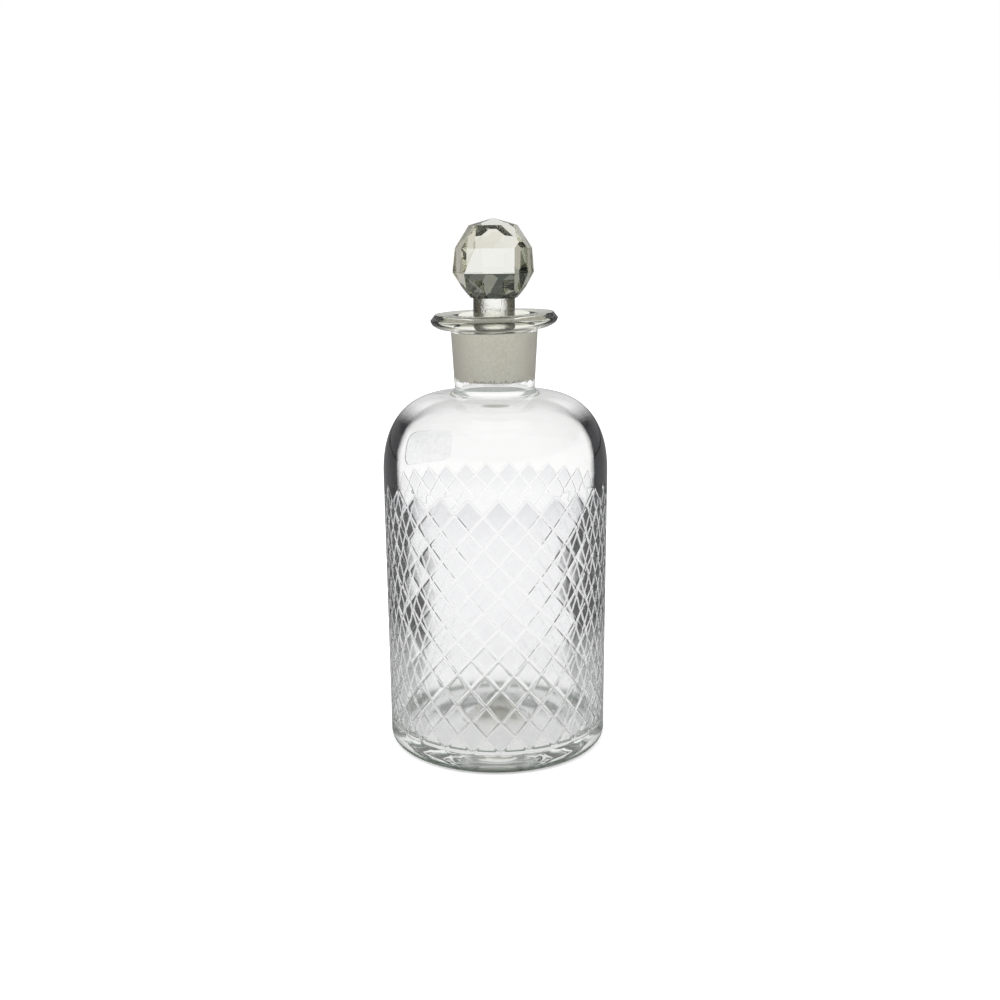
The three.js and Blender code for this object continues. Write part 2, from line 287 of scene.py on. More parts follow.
# Heights along the axis
SHOULDER_TOP = BODY_HEIGHT + SHOULDER_RISE
NECK_TOP = SHOULDER_TOP + NECK_LENGTH
LIP_UNDERSIDE = NECK_TOP + LIP_FILLET
LIP_WIDEST = LIP_UNDERSIDE + LIP_BELLY
LIP_TOP = LIP_WIDEST + LIP_BEVEL_RISE
SEAT_TOP = NECK_TOP
SEAT_BOTTOM = SEAT_TOP - SEAT_LENGTH
CUT_BOTTOM = CUT_FOOT_MARGIN
CUT_TOP = BODY_HEIGHT - CUT_SHOULDER_MARGIN
SEGMENTS = DIAMOND_COLUMNS * CUT_STEPS


# Shapes in the profile plane

def line(start, end, steps):
    """Points spaced evenly from start to end, each a radius and a height."""
    share = np.linspace(0.0, 1.0, steps + 1)[:, None]
    return np.array(start) * (1 - share) + np.array(end) * share


def arc(centre, radius, start_degrees, end_degrees, steps=8):
    """Points of a circle: centre plus radius times (cosine, sine); 0 degrees points away from the axis."""
    angle = np.radians(np.linspace(start_degrees, end_degrees, steps + 1))
    return np.array(centre) + radius * np.column_stack([np.cos(angle), np.sin(angle)])


def quarter_superellipse(foot, crown, fullness, steps):
    """Curve that leaves the foot upright and reaches the crown level.

    Radius and height run from foot to crown as cosine and sine of a quarter turn, raised to 2 / fullness.
    """
    angle = np.linspace(0.0, math.pi / 2, steps + 1)
    outward = np.abs(np.cos(angle)) ** (2 / fullness)
    upward = np.sin(angle) ** (2 / fullness)
    radius = crown[0] + (foot[0] - crown[0]) * outward
    height = foot[1] + (crown[1] - foot[1]) * upward
    return np.column_stack([radius, height])


def join(*stretches):
    """One profile from several stretches, without the points that repeat."""
    points = np.concatenate([np.atleast_2d(s) for s in stretches])
    apart = np.linalg.norm(np.diff(points, axis=0), axis=1) > 1e-6
    return points[np.concatenate([[True], apart])]


def bell(radius, width):
    """A smooth bump of height one: the square of one minus the squared radius over the width."""
    return np.clip(1 - (radius / width) ** 2, 0, None) ** 2


def body_radius(height):
    """Outer radius of the body, widening evenly from the heel to the shoulder."""
    share = (height - HEEL_RADIUS) / (BODY_HEIGHT - HEEL_RADIUS)
    return FOOT_RADIUS + (SHOULDER_RADIUS - FOOT_RADIUS) * share


def seat_radius(height):
    """Inner radius of the ground seat, narrowing downwards at its taper."""
    return SEAT_RADIUS - SEAT_TAPER * (SEAT_TOP - height)


def foot_profile():
    """Underside from the axis: the hollow under the kick, the shallow punt, the flat ring and the heel."""
    radius = np.linspace(0.0, PUNT_RADIUS, 22)
    hollow = KICK_HOLLOW * bell(radius, KICK_RADIUS)
    height = PUNT_RISE * (1 - (radius / PUNT_RADIUS) ** 2) + hollow
    heel = (FOOT_RADIUS - HEEL_RADIUS, HEEL_RADIUS)
    return join(
        np.column_stack([radius, height]),
        arc(heel, HEEL_RADIUS, -90, 0, 9),
        line((FOOT_RADIUS, HEEL_RADIUS), (body_radius(CUT_BOTTOM), CUT_BOTTOM), 3),
    )


def outside_profile():
    """From the top of the cutting over the shoulder, up the neck and round the lip to the mouth."""
    root = seat_radius(SHOULDER_TOP) + NECK_WALL
    neck_top_radius = seat_radius(NECK_TOP) + NECK_WALL
    lip_root = neck_top_radius + LIP_FILLET
    mouth = SEAT_RADIUS + MOUTH_FLARE
    mouth_top = LIP_TOP - LIP_DISH
    round_centre = LIP_RADIUS - LIP_BEVEL_INSET - LIP_ROUND_INSET
    return join(
        line((body_radius(CUT_TOP), CUT_TOP), (SHOULDER_RADIUS, BODY_HEIGHT), 2),
        quarter_superellipse((SHOULDER_RADIUS, BODY_HEIGHT), (root + NECK_FILLET, SHOULDER_TOP),
                             SHOULDER_FULLNESS, 28),
        arc((root + NECK_FILLET, SHOULDER_TOP + NECK_FILLET), NECK_FILLET, 270, 180, 6),
        line((root, SHOULDER_TOP + NECK_FILLET), (neck_top_radius, NECK_TOP), 6),
        arc((lip_root, NECK_TOP), LIP_FILLET, 180, 90, 5),
        quarter_superellipse((LIP_RADIUS, LIP_WIDEST), (lip_root, LIP_UNDERSIDE), 2.0, 12)[::-1],
        line((LIP_RADIUS, LIP_WIDEST), (round_centre + LIP_ROUND, LIP_TOP - LIP_ROUND), 4),
        arc((round_centre, LIP_TOP - LIP_ROUND), LIP_ROUND, 20, 90, 5),
        line((round_centre, LIP_TOP), (mouth + MOUTH_ROUND, mouth_top), 4),
        arc((mouth + MOUTH_ROUND, mouth_top - MOUTH_ROUND), MOUTH_ROUND, 90, 180, 6),
        line((mouth, mouth_top - MOUTH_ROUND), (SEAT_RADIUS, SEAT_TOP), 4),
    )


def inside_profile():
    """From the top of the ground seat down the throat, shoulder and wall, over the floor to the axis."""
    throat = seat_radius(SEAT_BOTTOM)
    ceiling = SHOULDER_TOP - SHOULDER_WALL
    inner_foot = body_radius(FLOOR_HEIGHT + FLOOR_CORNER) - WALL
    corner = (inner_foot - FLOOR_CORNER, FLOOR_HEIGHT + FLOOR_CORNER)
    edge, fringe = SEAT_TOP - SEAT_MARGIN, SEAT_BOTTOM + SEAT_RAGGED + SEAT_MARGIN
    radius = np.linspace(corner[0], 0.0, 22)
    return join(
        line((SEAT_RADIUS, SEAT_TOP), (seat_radius(edge), edge), 2),
        line((seat_radius(edge), edge), (seat_radius(fringe), fringe), 3),
        line((seat_radius(fringe), fringe), (throat, SEAT_BOTTOM), 9),
        line((throat, SEAT_BOTTOM), (throat, ceiling + THROAT_ROUND), 3),
        arc((throat + THROAT_ROUND, ceiling + THROAT_ROUND), THROAT_ROUND, 180, 270, 6),
        quarter_superellipse((SHOULDER_RADIUS - WALL, BODY_HEIGHT), (throat + THROAT_ROUND, ceiling),
                             SHOULDER_FULLNESS, 24)[::-1],
        line((SHOULDER_RADIUS - WALL, BODY_HEIGHT), (inner_foot, FLOOR_HEIGHT + FLOOR_CORNER), 4),
        arc(corner, FLOOR_CORNER, 0, -90, 9),
        np.column_stack([radius, FLOOR_HEIGHT + KICK_RISE * bell(radius, KICK_RADIUS)]),
    )


# Surfaces

def revolve(profile, segments):
    """Rings of points: radius times (sine, minus cosine) of the angle round the axis, at the height."""
    angle = 2 * math.pi * np.arange(segments) / segments
    radius = profile[:, :1]
    height = np.broadcast_to(profile[:, 1:], (len(profile), segments))
    return np.stack([radius * np.sin(angle), -radius * np.cos(angle), height], axis=-1)


def hand_lines(seed):
    """How far each groove of one slant strays from its even place, in diamonds, and its depth of cut."""
    rng = np.random.default_rng(seed)
    stray = rng.normal(0.0, HAND_WANDER, DIAMOND_COLUMNS)
    depth = rng.uniform(*HAND_DEPTHS, DIAMOND_COLUMNS)
    return stray, depth


def along_lines(steps, stray):
    """Place across the grooves of one slant, counted in grooves, and the distance to the nearest groove.

    Within a diamond the steps crowd into the groove walls: the first and last few cover the half groove and
    the rest the land. Each groove strays by its own amount, and the places between two grooves follow both.
    """
    spacing = groove_spacing()
    half = GROOVE_WIDTH / 2 / spacing
    whole = np.floor_divide(steps, CUT_STEPS)
    part = (steps - whole * CUT_STEPS) / CUT_STEPS
    step = 1 / CUT_STEPS
    arris = [0, half / 2, (1 - ARRIS_SOFTNESS) * half, (1 + ARRIS_SOFTNESS) * half, 2 * half]
    stops = [0, step, 2 * step, 3 * step, 4 * step]
    place = np.interp(part, stops + [1 - x for x in stops[::-1]], arris + [1 - x for x in arris[::-1]])
    near = np.minimum(place, 1 - place) * spacing
    here = stray[whole % DIAMOND_COLUMNS]
    beyond = stray[(whole + 1) % DIAMOND_COLUMNS]
    return whole + place + here * (1 - place) + beyond * place, near


def groove_spacing():
    """Distance between neighbouring grooves of one slant, square to them, in millimetres."""
    half_width = math.pi * FOOT_RADIUS / DIAMOND_COLUMNS
    half_height = (CUT_TOP - CUT_BOTTOM) / DIAMOND_ROWS / 2
    return 2 * half_width * half_height / math.hypot(half_width, half_height)


def cut_band():
    """Rings of the cut wall, what the wheel made of each point, and which rings are turned by half a step.

    A point's place is counted in grooves that climb to the right and grooves that climb to the left. Half
    their sum is the angle and half their difference the height. Row m of the grid holds the points whose
    two counts differ by m steps, so odd rows are turned by half a step, and every groove runs along the
    edges of the grid. The depth is that of the deeper of two V grooves, fading out at both ends of the band.
    """
    rows = 2 * DIAMOND_ROWS * CUT_STEPS
    row = np.arange(rows + 1)[:, None]
    column = np.arange(SEGMENTS)[None, :]
    stray_right, depth_right = hand_lines(RIGHT_SEED)
    stray_left, depth_left = hand_lines(LEFT_SEED)
    steps_right = column + (row + 1) // 2
    steps_left = column - row // 2
    right, near_right = along_lines(steps_right, stray_right)
    left, near_left = along_lines(steps_left, stray_left)
    rise = (CUT_TOP - CUT_BOTTOM) / (2 * DIAMOND_ROWS)
    turn = math.pi / DIAMOND_COLUMNS
    angle = turn * (right + left)
    angle = angle + HAND_SPREAD * np.sin(angle + HAND_SPREAD_TURN)
    height = CUT_BOTTOM + rise * (right - left)
    to_edge = np.minimum(row, rows - row) * rise / CUT_STEPS
    run_out = np.clip(to_edge / GROOVE_RUN_OUT, 0, 1)
    wall = GROOVE_WIDTH / 2
    cut_right = np.clip(1 - near_right / wall, 0, 1)
    cut_left = np.clip(1 - near_left / wall, 0, 1)
    deep_right = depth_right[np.round(steps_right / CUT_STEPS).astype(int) % DIAMOND_COLUMNS]
    deep_left = depth_left[np.round(steps_left / CUT_STEPS).astype(int) % DIAMOND_COLUMNS]
    depth = GROOVE_DEPTH * run_out * np.maximum(cut_right * deep_right, cut_left * deep_left)
    radius = body_radius(height) - depth
    points = np.stack([radius * np.sin(angle), -radius * np.cos(angle), height], axis=-1)
    in_groove = np.clip(FINISH_STEEPNESS * np.maximum(cut_right, cut_left), 0, 1)
    groove = in_groove * np.clip(FINISH_STEEPNESS * run_out, 0, 1)
    diamond_right = np.floor_divide(steps_right, CUT_STEPS)
    diamond_left = np.floor_divide(steps_left, CUT_STEPS)
    level = diamond_right - diamond_left
    land = (level >= 1) & (level <= 2 * DIAMOND_ROWS - 1)
    # Each diamond's own shift of where painted edge shade begins
    tones = np.random.default_rng(TONE_SEED).uniform(0, 1, (DIAMOND_COLUMNS, DIAMOND_COLUMNS))
    tone = tones[diamond_right % DIAMOND_COLUMNS, diamond_left % DIAMOND_COLUMNS]
    return points, {"groove": groove, "land": land, "tone": tone}, row[:, 0] % 2 == 1


def ring_faces(rings, segments, half_turned):
    """Triangles between neighbouring rings, with a single point at each end of the surface.

    Point 0 is the first pole, then come the rings, and the last point is the other pole. Where a ring is
    turned by half a step against the one below it, the triangles point up and down by turns.
    """
    lower = 1 + segments * np.arange(rings - 1)[:, None]
    here = np.arange(segments)[None, :]
    after = (here + 1) % segments
    a, b = lower + here, lower + after
    c, d = lower + segments + after, lower + segments + here
    leaning = (half_turned[1:] & ~half_turned[:-1])[:, None]
    first = np.stack([a, b, np.where(leaning, d, c)], axis=-1)
    second = np.stack([np.where(leaning, b, a), c, d], axis=-1)
    first_pole = np.stack([np.zeros_like(here[0]), 1 + after[0], 1 + here[0]], axis=-1)
    last = 1 + segments * (rings - 1)
    top = np.full_like(here[0], last + segments)
    last_pole = np.stack([last + here[0], last + after[0], top], axis=-1)
    bands = np.stack([first, second], axis=2).reshape(-1, 3)
    return np.concatenate([first_pole, bands, last_pole])


def mesh_piece(name, points, faces, smooth, attributes):
    """An object at the origin from points in millimetres, faces, and named values on the points."""
    mesh = bpy.data.meshes.new(name)
    mesh.from_pydata((points * MM).tolist(), [], faces if isinstance(faces, list) else faces.tolist())
    mesh.polygons.foreach_set("use_smooth", smooth)
    for key, values in attributes.items():
        layer = mesh.attributes.new(key, "FLOAT", "POINT")
        layer.data.foreach_set("value", values.astype(np.float32))
    piece = bpy.data.objects.new(name, mesh)
    bpy.context.scene.collection.objects.link(piece)
    return piece


def closed_surface(name, rings, half_turned, ring_values):
    """A closed smooth piece from rings of which the first and the last have shrunk to a point."""
    points = np.concatenate([rings[0, :1], rings[1:-1].reshape(-1, 3), rings[-1, :1]])
    faces = ring_faces(len(rings) - 2, rings.shape[1], half_turned[1:-1])
    attributes = {
        key: np.concatenate([v[0, :1], v[1:-1].ravel(), v[-1, :1]]) for key, v in ring_values.items()
    }
    return mesh_piece(name, points, faces, np.ones(len(faces), bool), attributes)


# The bottle

def upright(profile):
    """How upright a profile stands at each point, eased from 0 on level stretches to 1 on steep ones."""
    radius, height = np.gradient(profile, axis=0).T
    slope = np.abs(height) / np.hypot(radius, height)
    steep = np.clip((slope - UPRIGHT_FROM) / UPRIGHT_STRETCH, 0, 1)
    return steep * steep * (3 - 2 * steep)


def tilt_lip(rings):
    """Leans the lip over towards one side, easing in along the top of the neck."""
    ease = np.clip((rings[..., 2] - NECK_TOP + LIP_TILT_BELOW) / LIP_TILT_STRETCH, 0, 1)
    rings[..., 2] += math.tan(math.radians(LIP_TILT)) * rings[..., 0] * ease


def make_bottle():
    """One closed skin: foot, cut band, shoulder, neck, lip, then back down the inside to the floor.

    Points carry what the finish needs: the wheel's grooves and lands, each diamond's own tone, which shifts
    where painted edge shade begins, painted grey shade on the lands, the ground seat, the pontil's mark on
    the kick, the heel with painted shade over the green of thick glass, the rim, and how far the outer wall
    stands upright, where painted shade darkens its edges.
    """
    foot_line, outside_line, inside_line = foot_profile(), outside_profile(), inside_profile()
    foot = revolve(foot_line, SEGMENTS)
    band, cut, turned = cut_band()
    outside = revolve(outside_line, SEGMENTS)
    inside = revolve(inside_line, SEGMENTS)
    rings = np.concatenate([foot[:-1], band, outside[1:], inside[1:]])
    before, after = len(foot) - 1, len(outside) + len(inside) - 2
    half_turned = np.concatenate([np.zeros(before, bool), turned, np.zeros(after, bool)])
    values = {key: np.zeros((len(rings), SEGMENTS)) for key in ("groove", "land", "tone", "ground", "side")}
    for key, cut_values in cut.items():
        values[key][before:before + len(band)] = cut_values
    height = rings[..., 2]
    first_inside = before + len(band) + len(outside) - 1
    ragged = np.random.default_rng(RAGGED_SEED).uniform(0, SEAT_RAGGED, SEGMENTS)
    in_seat = (height < SEAT_TOP - SEAT_EDGE) & (height > SEAT_BOTTOM + ragged)
    values["ground"][first_inside:] = in_seat[first_inside:]
    radius = np.hypot(rings[..., 0], rings[..., 1])
    on_kick = np.clip(FINISH_STEEPNESS * bell(radius, KICK_RADIUS), 0, 1)
    values["pontil"] = np.where(height < BODY_HEIGHT / 2, on_kick, 0)
    # Painted shade on the outer wall's edges: its share follows how upright the wall stands, fades towards
    # the foot and leaves the neck clear
    values["side"][:before] = upright(foot_line)[:-1, None]
    values["side"][before:before + len(band)] = 1
    values["side"][before + len(band):first_inside] = upright(outside_line)[1:, None]
    values["side"] *= np.clip(height / EDGE_FULL_HEIGHT, EDGE_AT_FOOT, 1)
    values["side"] *= (height < SHOULDER_TOP - CLEAR_NECK_BELOW) | (height > NECK_TOP + CLEAR_NECK_ABOVE)
    # The heel's outer edge takes painted shade over the green of thick glass
    heel_fade = np.clip((HEEL_RADIUS + HEEL_SHADE_ABOVE - height) / HEEL_SHADE_FADE, 0, 1)
    values["heel"] = heel_fade * (radius > FOOT_RADIUS - HEEL_RADIUS + HEEL_SHADE_INSET)
    values["rim"] = height > NECK_TOP + RIM_ABOVE_NECK
    # Painted grey shade on the lands, fading below the top of the cutting
    values["land_shade"] = values["land"] * np.clip((height - CUT_TOP) / LAND_SHADE_FADE + 1, LAND_SHADE_LEAST, 1)
    tilt_lip(rings)
    return closed_surface("cut_bottle", rings, half_turned, values)


# The stopper

def profile_planes(azimuth, radii, heights):
    """Facets down one side of the ball.

    Each plane holds two neighbouring points of a profile at an azimuth and lies level across it.
    """
    latitude = np.arctan2(np.diff(radii), -np.diff(heights))
    normals = sphere_direction(np.full_like(latitude, azimuth), latitude)
    return normals, radii[:-1] * np.cos(latitude) + heights[:-1] * np.sin(latitude)


def facet_planes():
    """Directions and distances of all the ball's facets.

    The flats of each column follow one profile, a little nearer or farther from the axis. Between two
    columns the corner is cut back at every other level, so its facets are triangles that point up and down
    by turns.
    """
    heights, level = np.array(BALL_LEVELS), np.arange(len(BALL_LEVELS))
    azimuths = np.radians(BALL_AZIMUTHS)
    steps = np.diff(azimuths, append=azimuths[0] + 2 * math.pi)
    shares = np.array(BALL_SHARES)
    corner_shares = (shares + np.roll(shares, -1)) / 2 / np.cos(steps / 2)
    planes = []
    for column, azimuth in enumerate(azimuths):
        flats = np.array(BALL_FLATS)
        rising = column in BALL_RISING_CORNERS
        corners = flats * corner_shares[column] - BALL_CORNER_TRIM * ((level + rising) % 2 == 0)
        planes.append(profile_planes(azimuth, flats * shares[column], heights))
        planes.append(profile_planes(azimuth + steps[column] / 2, corners[1:-1], heights[1:-1]))
    normals, distances = zip(*planes)
    return np.concatenate(normals), np.concatenate(distances)


def sphere_direction(azimuth, latitude):
    """Unit direction from an angle round the axis and an angle above the level plane."""
    level = np.cos(latitude)
    return np.stack([level * np.sin(azimuth), -level * np.cos(azimuth), np.sin(latitude)], axis=-1)


def facet_corners(normals, distances):
    """Corners of the ball: the points where three facet planes meet and that no other plane cuts away.

    Also gives, for each corner and plane, whether the corner lies on that plane.
    """
    trio = np.array(list(itertools.combinations(range(len(normals)), 3)))
    square = normals[trio]
    meeting = np.abs(np.linalg.det(square)) > 1e-4
    points = np.linalg.solve(square[meeting], distances[trio[meeting]][..., None])[..., 0]
    inside = (points @ normals.T <= distances + 1e-6).all(axis=1)
    points = np.unique(points[inside].round(5), axis=0)
    return points, np.abs(points @ normals.T - distances) < 1e-3


def facet_loop(points, on_facet, normal):
    """The corners of one facet in order, counter-clockwise seen from outside."""
    corners = np.flatnonzero(on_facet)
    spread = points[corners] - points[corners].mean(axis=0)
    across = spread[0] / np.linalg.norm(spread[0])
    angle = np.arctan2(spread @ np.cross(normal, across), spread @ across)
    return corners[np.argsort(angle)]


def pebbles(rows, segments, seed):
    """Rough as-pressed skin: values of a coarse random grid, eased between its points, from -1 to 1."""
    rng = np.random.default_rng(seed)
    grid = rng.uniform(-1, 1, (PEBBLE_ROWS, PEBBLE_COLUMNS))
    down = np.linspace(0, PEBBLE_ROWS - 1.001, rows)[:, None]
    across = np.linspace(0, PEBBLE_COLUMNS, segments, endpoint=False)[None, :]
    i, j = down.astype(int), across.astype(int)
    u, v = (x * x * (3 - 2 * x) for x in (down - i, across - j))
    j_after = (j + 1) % PEBBLE_COLUMNS
    above = grid[i, j] * (1 - v) + grid[i, j_after] * v
    below = grid[i + 1, j] * (1 - v) + grid[i + 1, j_after] * v
    return above * (1 - u) + below * u


def plug_radius(height):
    """Radius of the ground plug, a clearance inside the seat."""
    return seat_radius(height) - SEAT_CLEARANCE


def stem_profile():
    """Shank and plug of the stopper from the ball down to the axis, and how many points the shank takes."""
    plug_bottom = SEAT_TOP - PLUG_LENGTH
    edge = plug_bottom + PLUG_CHAMFER
    ball_foot = SEAT_TOP + BALL_HEIGHT - BALL_CUT_OFF
    shank = join(
        line((SHANK_RADIUS, ball_foot), (SHANK_RADIUS, SEAT_TOP + SHANK_FILLET), 64),
        arc((SHANK_RADIUS + SHANK_FILLET, SEAT_TOP + SHANK_FILLET), SHANK_FILLET, 180, 270, 8),
    )
    plug = join(
        arc((plug_radius(SEAT_TOP) - PLUG_CHAMFER, SEAT_TOP - PLUG_CHAMFER), PLUG_CHAMFER, 90, 0, 6),
        line((plug_radius(SEAT_TOP - PLUG_CHAMFER), SEAT_TOP - PLUG_CHAMFER), (plug_radius(edge), edge), 24),
        line((plug_radius(edge), edge), (plug_radius(plug_bottom) - PLUG_CHAMFER, plug_bottom), 4),
        line((plug_radius(plug_bottom) - PLUG_CHAMFER, plug_bottom), (0.0, plug_bottom), 8),
    )
    return np.concatenate([shank, plug]), len(shank)


def rough_stem():
    """Rings of the stem from the end of the plug up to the ball, the shank's skin pushed in and out."""
    profile, shank_points = stem_profile()
    stem = revolve(profile, STEM_SEGMENTS)
    rough = np.zeros(stem.shape[:2])
    rough[:shank_points] = SHANK_PEBBLE * pebbles(shank_points, STEM_SEGMENTS, PEBBLE_SEED)
    rough[0] = 0
    stem[..., :2] *= 1 + rough[..., None] / SHANK_RADIUS
    return stem[::-1]


def rim_faces(ball, foot, ring):
    """Flat faces from each side of the ball's foot to the stretch of the shank's first ring beside it."""
    place = np.arctan2(ball[foot, 0], -ball[foot, 1]) / (2 * math.pi) * STEM_SEGMENTS
    starts = np.ceil(place).astype(int)
    faces = []
    for here, after, low, high in zip(foot, np.roll(foot, -1), starts, np.roll(starts, -1)):
        stretch = np.arange(low, low + (high - low) % STEM_SEGMENTS + 1) % STEM_SEGMENTS
        faces.append([*ring[stretch], after, here])
    return faces


def make_stopper():
    """One closed skin: the ball's flat facets, the rough shank under them and the ground plug.

    The ball is cut off level above the shank, and a flat rim joins each side of that cut to the ring of
    points where the shank begins. Points carry where the plug is ground and the shank is rough, and facets
    carry their painted shade.
    """
    normals, distances = facet_planes()
    normals = np.concatenate([normals, [[0.0, 0.0, -1.0]]])
    distances = np.append(distances, BALL_CUT_OFF)
    corners, on_facet = facet_corners(normals, distances)
    loops = [facet_loop(corners, on_facet[:, i], normal) for i, normal in enumerate(normals)]
    kept = [i for i, loop in enumerate(loops[:-1]) if len(loop) > 2]
    flats = [list(loops[i]) for i in kept]
    ball = corners + [0, 0, SEAT_TOP + BALL_HEIGHT]

    stem = rough_stem()
    first = len(ball)
    stem_faces = first + ring_faces(len(stem) - 1, STEM_SEGMENTS, np.zeros(len(stem) - 1, bool))
    open_stem = stem_faces[:-STEM_SEGMENTS].tolist()
    ring = first + 1 + STEM_SEGMENTS * (len(stem) - 2) + np.arange(STEM_SEGMENTS)
    points = np.concatenate([ball, stem[0, :1], stem[1:].reshape(-1, 3)])
    rim = rim_faces(ball, loops[-1][::-1], ring)
    faces = flats + rim + open_stem
    smooth = np.arange(len(faces)) >= len(flats) + len(rim)

    radius, height = np.linalg.norm(points[:, :2], axis=1), points[:, 2]
    on_stem = np.arange(len(points)) >= first
    on_shank = (radius < SHANK_RADIUS + SHANK_FILLET) & (height > SEAT_TOP + SHANK_EDGE)
    values = {"ground": height < SEAT_TOP - PLUG_EDGE, "rugged": on_stem & on_shank}
    piece = mesh_piece("cut_stopper", points, faces, smooth, values)
    # Painted shade for each facet of the ball
    shade = np.zeros(len(faces))
    shade[:len(flats)] = np.ravel(FACET_SHADES)[kept]
    layer = piece.data.attributes.new("shade", "FLOAT", "FACE")
    layer.data.foreach_set("value", shade.astype(np.float32))
    return piece


# The label

def make_label():
    """A thin skin over an oblong of the shoulder.

    Two parameters run round the oblong and out from its middle; its outline is a superellipse. The height
    and angle pick a point of the shoulder, and the skin stands off it by the gap and its thickness.
    """
    around, outward = 96, 12
    turn = 2 * math.pi * np.arange(around) / around
    share = np.linspace(0.0, 1.0, outward + 1)[:, None]
    power = 2 / LABEL_FULLNESS
    across = LABEL_WIDTH / 2 * share * np.sign(np.cos(turn)) * np.abs(np.cos(turn)) ** power
    up = LABEL_HEIGHT / 2 * share * np.sign(np.sin(turn)) * np.abs(np.sin(turn)) ** power
    line_up = join(
        line((body_radius(BODY_HEIGHT - LABEL_HEIGHT), BODY_HEIGHT - LABEL_HEIGHT),
             (SHOULDER_RADIUS, BODY_HEIGHT), 8),
        quarter_superellipse((SHOULDER_RADIUS, BODY_HEIGHT),
                             (seat_radius(SHOULDER_TOP) + NECK_WALL + NECK_FILLET, SHOULDER_TOP),
                             SHOULDER_FULLNESS, 60)[:45],
    )
    height = BODY_HEIGHT + LABEL_CENTRE_ABOVE_BODY + up
    radius = np.interp(height, line_up[:, 1], line_up[:, 0])
    angle = math.radians(LABEL_AZIMUTH) + across / SHOULDER_RADIUS

    def skin(offset):
        """The oblong, moved out from the axis by an offset."""
        reach = radius + offset
        return np.stack([reach * np.sin(angle), -reach * np.cos(angle), height], axis=-1)

    rings = np.concatenate([skin(LABEL_GAP + LABEL_THICKNESS), skin(LABEL_GAP)[::-1]])
    return closed_surface("film_label", rings[::-1], np.zeros(len(rings), bool), {})


# Materials

def glass_material(name, index):
    """A material whose shader lets all light through, bent by the refractive index."""
    material = bpy.data.materials.new(name)
    material.use_nodes = True
    tree = material.node_tree
    shader = tree.nodes["Principled BSDF"]
    shader.inputs["Transmission Weight"].default_value = 1.0
    shader.inputs["IOR"].default_value = index
    return material, tree, shader


def add(tree, kind, **inputs):
    """A node of the given kind with some of its inputs set."""
    node = tree.nodes.new(kind)
    for key, value in inputs.items():
        node.inputs[key].default_value = value
    return node


def own_place(tree):
    """A point's place in the piece's own coordinates, in metres."""
    return tree.nodes.new("ShaderNodeTexCoord").outputs["Object"]


def object_noise(tree, scale, detail):
    """Noise on the piece's own coordinates, with the scale counted per metre."""
    noise = add(tree, "ShaderNodeTexNoise", Scale=scale, Detail=detail)
    tree.links.new(own_place(tree), noise.inputs["Vector"])
    return noise.outputs["Fac"]


def ramp(tree, source, stops):
    """Colours blended along a value, from stops that each give a place and a colour."""
    node = tree.nodes.new("ShaderNodeValToRGB")
    elements = node.color_ramp.elements
    while len(elements) < len(stops):
        elements.new(0.5)
    for element, (position, color) in zip(elements, stops):
        element.position = position
        element.color = (*color, 1)
    tree.links.new(source, node.inputs["Fac"])
    return node.outputs["Color"]


def point_value(tree, name):
    """A named value that the mesh carries on its points or faces."""
    node = tree.nodes.new("ShaderNodeAttribute")
    node.attribute_name = name
    return node.outputs["Fac"]


def between(tree, factor, low, high):
    """A number that runs from low to high as the factor runs from 0 to 1."""
    node = tree.nodes.new("ShaderNodeMapRange")
    node.inputs["To Min"].default_value = low
    node.inputs["To Max"].default_value = high
    tree.links.new(factor, node.inputs["Value"])
    return node.outputs["Result"]


def wavering(tree, factor, reach):
    """A number that runs from minus the reach to plus the reach as the factor runs from 0 to 1."""
    return between(tree, factor, -reach, reach)


def eased(tree, source, start, end):
    """A number eased from 0 to 1 as the source runs from start to end."""
    node = tree.nodes.new("ShaderNodeMapRange")
    node.interpolation_type = "SMOOTHSTEP"
    node.inputs["From Min"].default_value = start
    node.inputs["From Max"].default_value = end
    tree.links.new(source, node.inputs["Value"])
    return node.outputs["Result"]


def combine(tree, operation, first, second):
    """Two numbers put together by a maths node; the second may be a plain number."""
    node = tree.nodes.new("ShaderNodeMath")
    node.operation = operation
    tree.links.new(first, node.inputs[0])
    if isinstance(second, float):
        node.inputs[1].default_value = second
    else:
        tree.links.new(second, node.inputs[1])
    return node.outputs["Value"]


def blend(tree, factor, first, second, mode="MIX"):
    """Two colours mixed by a factor; each is a socket or a plain colour."""
    node = tree.nodes.new("ShaderNodeMix")
    node.data_type = "RGBA"
    node.blend_type = mode
    if isinstance(factor, float):
        node.inputs["Factor"].default_value = factor
    else:
        tree.links.new(factor, node.inputs["Factor"])
    for name, color in (("A", first), ("B", second)):
        if isinstance(color, tuple):
            node.inputs[name].default_value = (*color, 1)
        else:
            tree.links.new(color, node.inputs[name])
    return node.outputs["Result"]


def tint(tree, color, density):
    """Colour that light takes on along its way through the glass; the density counts per metre."""
    volume = add(tree, "ShaderNodeVolumeAbsorption", Color=(*color, 1), Density=density)
    tree.links.new(volume.outputs["Volume"], tree.nodes["Material Output"].inputs["Volume"])


def grazing(tree, uneven, stretch):
    """How far a surface turns away from the eye, eased over a stretch and made uneven by a value; it sets
    where painted shade darkens edges.
    """
    facing = add(tree, "ShaderNodeLayerWeight", Blend=0.5)
    shifted = combine(tree, "ADD", facing.outputs["Facing"], uneven)
    return eased(tree, shifted, *stretch)


